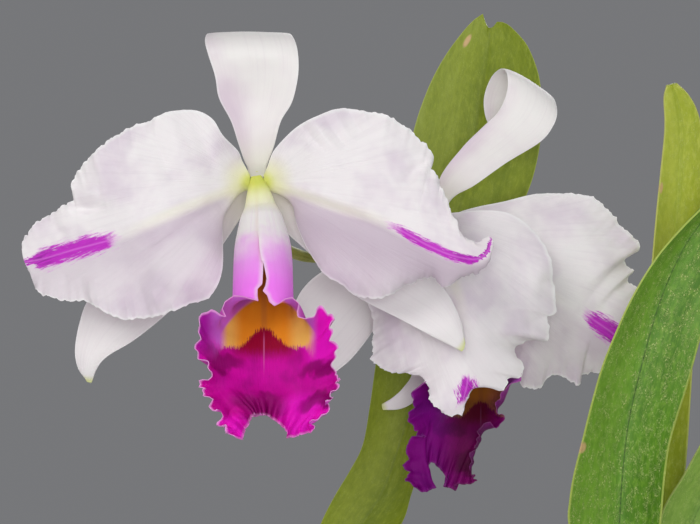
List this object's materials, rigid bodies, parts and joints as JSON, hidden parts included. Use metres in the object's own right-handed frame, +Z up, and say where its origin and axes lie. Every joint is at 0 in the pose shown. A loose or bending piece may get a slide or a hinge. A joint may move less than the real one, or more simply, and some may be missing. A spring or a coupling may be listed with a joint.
{
  "type": "potted cattleya orchid",
  "caption": "Flowering cattleya orchid in a plain clay pot, with white blooms, flamed petals, frilled magenta lips with orange throats, and strap leaves.",
  "frame": {"origin": "centre of the pot's flat base, where it stands", "axes": "+Z up, +X to the right of the viewer who faces the near bloom, +Y away from that viewer"},
  "size_m": [0.2817, 0.1803, 0.4681],
  "materials": {
    "bract_papery": "dry papery husk",
    "leaf_olive": "leathery leaf, satin",
    "pseudobulb_green": "smooth furrowed stem",
    "column_yellow": "waxy",
    "sepal_white": "soft petal tissue",
    "petal_white": "soft petal tissue, white with a magenta flame at the tip",
    "lip_magenta": "velvety petal tissue with an orange throat",
    "sheath_straw": "dry papery spathe",
    "stalk_olive": "smooth living stem",
    "leaf_green": "leathery leaf, satin",
    "leaf_mid_green": "leathery leaf, satin",
    "leaf_pale": "leathery leaf, satin",
    "pot_clay": "unglazed terracotta, slightly mottled with lime",
    "bark_brown": "rough fir bark",
    "rhizome_green_brown": "smooth, with papery scales"
  },
  "bodies": {
    "root": {"back_bract": "bract_papery", "back_leaf": "leaf_olive", "back_pseudobulb": "pseudobulb_green", "bloom_a_column": "column_yellow", "bloom_a_dorsal_sepal": "sepal_white", "bloom_a_left_petal": "petal_white", "bloom_a_left_sepal": "sepal_white", "bloom_a_lip": "lip_magenta", "bloom_a_right_petal": "petal_white", "bloom_a_right_sepal": "sepal_white", "bloom_b_column": "column_yellow", "bloom_b_dorsal_sepal": "sepal_white", "bloom_b_left_petal": "petal_white", "bloom_b_left_sepal": "sepal_white", "bloom_b_lip": "lip_magenta", "bloom_b_right_petal": "petal_white", "bloom_b_right_sepal": "sepal_white", "flower_sheath": "sheath_straw", "flower_stalk": "stalk_olive", "front_bract": "bract_papery", "front_leaf": "leaf_green", "front_pseudobulb": "pseudobulb_green", "low_bract": "bract_papery", "low_leaf": "leaf_mid_green", "low_pseudobulb": "pseudobulb_green", "pale_bract": "bract_papery", "pale_leaf": "leaf_pale", "pale_pseudobulb": "pseudobulb_green", "pot": "pot_clay", "potting_bark": "bark_brown", "rhizome": "rhizome_green_brown"}
  },
  "joints": []
}
